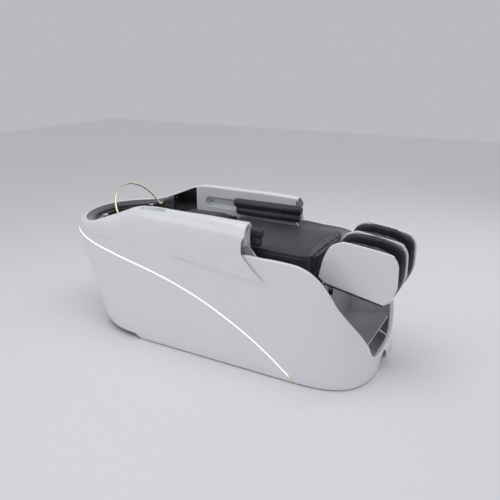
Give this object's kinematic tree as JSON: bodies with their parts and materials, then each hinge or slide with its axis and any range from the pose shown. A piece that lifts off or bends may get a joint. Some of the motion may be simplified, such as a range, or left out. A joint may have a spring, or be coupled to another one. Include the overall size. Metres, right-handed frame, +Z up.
{
  "type": "shampoo backwash unit",
  "caption": "Lie-flat salon backwash bed: white moulded shells, black basin with a swing-over water ring, recliner back, sliding arm pads and a tilting calf rest.",
  "frame": {"origin": "on the floor under the middle of the bed", "axes": "+X towards the feet, +Y to the client's left, +Z up"},
  "size_m": [1.9815, 0.816, 0.7908],
  "materials": {
    "white_shell": "high gloss gelcoat",
    "white_liner": "satin gloss moulding",
    "grey_liner": "satin moulding",
    "black_gloss": "black gloss",
    "black_leather": "fine-grained upholstery leather",
    "black_gel": "soft gel",
    "black_plastic": "fine satin",
    "champagne": "champagne gold plating",
    "light_lens": "warm white diffuser, lit",
    "chrome": "polished",
    "steel": "black powder coat",
    "bright_steel": "turned",
    "plywood": "birch plywood",
    "grey_plastic": "moulded housing",
    "foot_rubber": "moulded",
    "panel_glass": "tinted window",
    "button_face": "satin keys",
    "pipe": "white pipe"
  },
  "bodies": {
    "base": {"back_lift_motor": "grey_plastic", "basin_supports": "steel", "basin_surround": "black_gloss", "calf_lift_motor": "grey_plastic", "circulation_pump": "grey_plastic", "control_panel": "black_plastic", "display_window": "panel_glass", "drain_trap": "pipe", "floor_rails": "steel", "foot_well_liner": "grey_liner", "frame_cross_members": "steel", "frame_uprights": "steel", "hinge_brackets": "steel", "hinge_pins": "bright_steel", "left_armrest_cover": "white_shell", "left_inner_panel": "white_liner", "left_light_strip": "light_lens", "left_side_shell": "white_shell", "levelling_feet": "foot_rubber", "light_end_caps": "champagne", "mains_inlet": "black_plastic", "mixer_plate": "black_plastic", "neck_rest": "black_gel", "pad_slide_rails": "bright_steel", "power_supply_box": "grey_plastic", "right_armrest_cover": "white_shell", "right_inner_panel": "white_liner", "right_light_strip": "light_lens", "right_side_shell": "white_shell", "ring_feed_pipe": "pipe", "ring_pivot_blocks": "champagne", "seat_board": "plywood", "seat_cushion": "black_leather", "seat_rails": "steel", "shell_brackets": "steel", "side_decks": "black_plastic", "wash_basin": "black_gloss", "water_reservoir": "grey_plastic"},
    "backrest": {"backrest_board": "plywood", "backrest_hinge_plates": "steel", "back_cushion": "black_leather"},
    "back_rod": {"back_lift_rod": "bright_steel"},
    "calf_rest": {"calf_rest_tray": "black_plastic", "left_calf_panel": "white_shell", "right_calf_panel": "white_shell", "middle_calf_panel": "white_shell", "left_calf_cushion": "black_leather", "right_calf_cushion": "black_leather"},
    "calf_rod": {"calf_lift_rod": "bright_steel"},
    "ring": {"water_ring": "champagne"},
    "left_pad": {"left_arm_pad": "black_leather", "left_pad_carriage": "bright_steel"},
    "right_pad": {"right_arm_pad": "black_leather", "right_pad_carriage": "bright_steel"},
    "knob": {"mixer_knob": "chrome"},
    "strainer": {"drain_strainer": "chrome"},
    "pump_key": {"pump_button": "button_face"},
    "light_key": {"light_button": "button_face"},
    "warmth_key": {"warmth_button": "button_face"},
    "massage_key": {"massage_button": "button_face"}
  },
  "joints": [
    {"name": "back_recline", "type": "hinge", "parent": "base", "child": "backrest", "pos_m": [-0.095, 0, 0.602], "axis": [0, 1, 0], "range_deg": [0, 40]},
    {"name": "back_rod_slide", "type": "slide", "parent": "base", "child": "back_rod", "axis": [0, 0, 1], "range_m": [0, 0.092]},
    {"name": "calf_hinge", "type": "hinge", "parent": "base", "child": "calf_rest", "pos_m": [0.6, 0, 0.5], "axis": [0, -1, 0], "range_deg": [-19, 10]},
    {"name": "calf_rod_slide", "type": "slide", "parent": "base", "child": "calf_rod", "axis": [1, 0, 0], "range_m": [-0.0465, 0.0245]},
    {"name": "ring_swing", "type": "hinge", "parent": "base", "child": "ring", "pos_m": [-0.646, 0, 0.626], "axis": [0, 1, 0], "range_deg": [-30, 70]},
    {"name": "left_pad_slide", "type": "slide", "parent": "base", "child": "left_pad", "axis": [1, 0, 0], "range_m": [-0.2, 0.06]},
    {"name": "right_pad_slide", "type": "slide", "parent": "base", "child": "right_pad", "axis": [1, 0, 0], "range_m": [-0.2, 0.06]},
    {"name": "mixer_turn", "type": "hinge", "parent": "base", "child": "knob", "pos_m": [-0.738, 0.2165, 0.588], "axis": [0, 0, 1], "range_deg": [-60, 60]},
    {"name": "strainer_lift", "type": "slide", "parent": "base", "child": "strainer", "axis": [0, 0, 1], "range_m": [0, 0.03]},
    {"name": "pump_press", "type": "slide", "parent": "base", "child": "pump_key", "axis": [0, 0, -1], "range_m": [0, 0.0015], "stiffness_N_per_m": 300},
    {"name": "light_press", "type": "slide", "parent": "base", "child": "light_key", "axis": [0, 0, -1], "range_m": [0, 0.0015], "stiffness_N_per_m": 300},
    {"name": "warmth_press", "type": "slide", "parent": "base", "child": "warmth_key", "axis": [0, 0, -1], "range_m": [0, 0.0015], "stiffness_N_per_m": 300},
    {"name": "massage_press", "type": "slide", "parent": "base", "child": "massage_key", "axis": [0, 0, -1], "range_m": [0, 0.0015], "stiffness_N_per_m": 300}
  ],
  "couplings": [
    {"joint": "back_rod_slide", "follows": "back_recline", "m_per_rad": 0.13},
    {"joint": "calf_rod_slide", "follows": "calf_hinge", "m_per_rad": 0.139}
  ]
}
